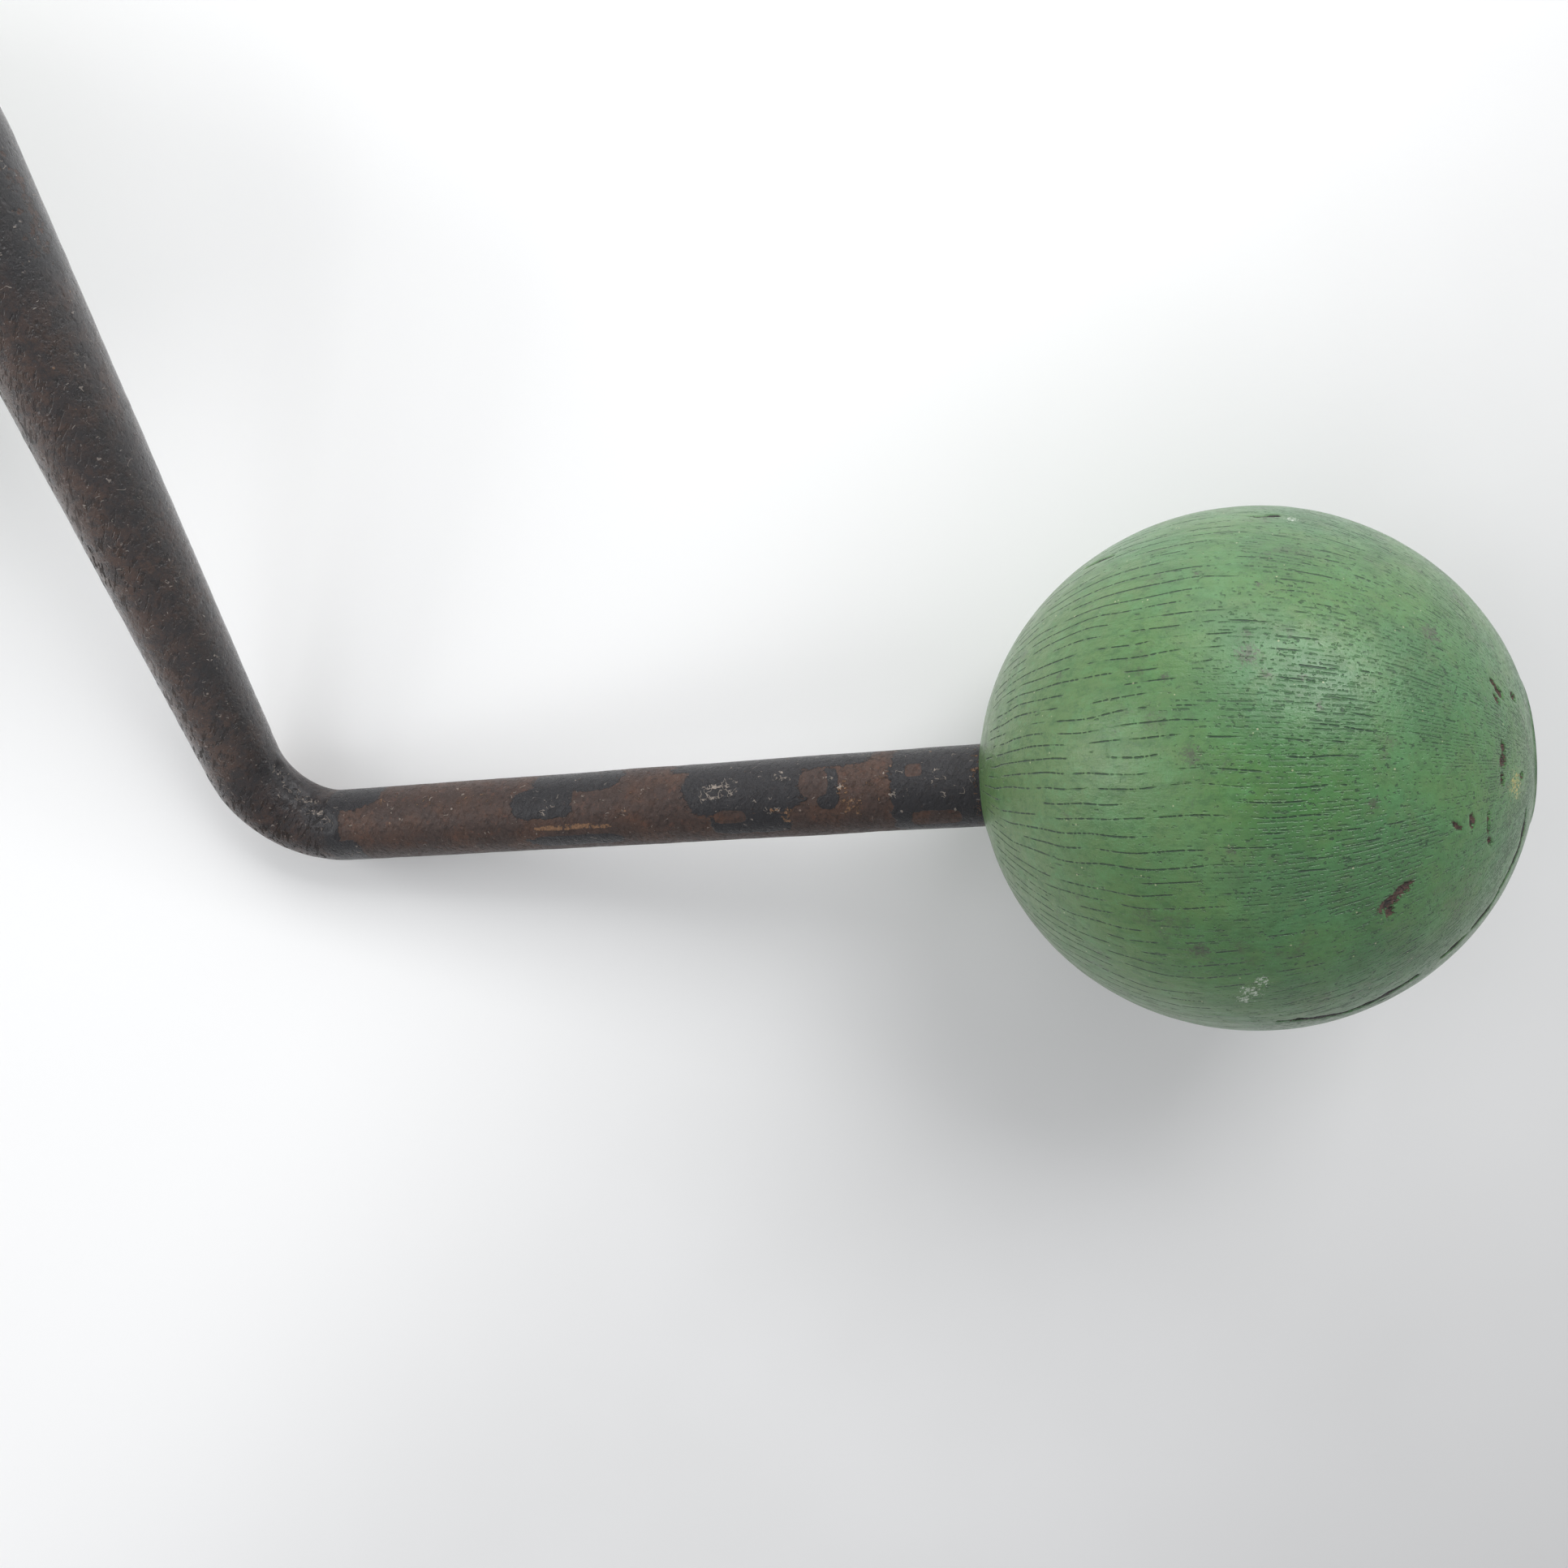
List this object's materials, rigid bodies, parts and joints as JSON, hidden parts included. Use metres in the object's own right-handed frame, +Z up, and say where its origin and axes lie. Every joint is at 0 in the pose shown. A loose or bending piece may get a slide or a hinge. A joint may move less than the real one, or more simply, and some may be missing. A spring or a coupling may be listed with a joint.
{
  "type": "string winder",
  "caption": "Cranked string winder for a double bass: a two-bend painted steel rod with a slotted drive cup and a free-spinning painted wooden ball knob.",
  "frame": {"origin": "middle of the resting winder's outline, on the table that it lies on", "axes": "+X level, along the handle leg towards the ball knob; +Y level, from the handle towards the drive cup; +Z up from the table"},
  "size_m": [0.2, 0.1242, 0.0521],
  "materials": {
    "rod_paint": "satin charcoal paint, worn to brown rust",
    "green_paint": "semi-gloss green paint over open-pored wood",
    "bush_brass": "plain turned",
    "plain_steel": "dull, lightly rusted",
    "pad_leather": "matte"
  },
  "bodies": {
    "crank": {"crank_rod": "rod_paint", "knob_thrust_washer": "plain_steel", "knob_end_washer": "plain_steel", "knob_screw": "plain_steel", "cup_body": "green_paint", "cup_ferrule": "plain_steel", "cup_shoulder_washer": "plain_steel", "cup_inner_washer": "plain_steel", "cup_nut": "plain_steel", "cup_cross_pin": "plain_steel", "cup_pad": "pad_leather"},
    "knob": {"ball_knob": "green_paint", "knob_end_plug": "green_paint", "knob_inner_bush": "bush_brass", "knob_outer_bush": "bush_brass"}
  },
  "joints": [
    {"name": "knob_spin", "type": "hinge", "parent": "crank", "child": "knob", "pos_m": [0.07648, -0.03858, 0.0235], "axis": [0.9796, 0, 0.2009], "continuous": true}
  ]
}
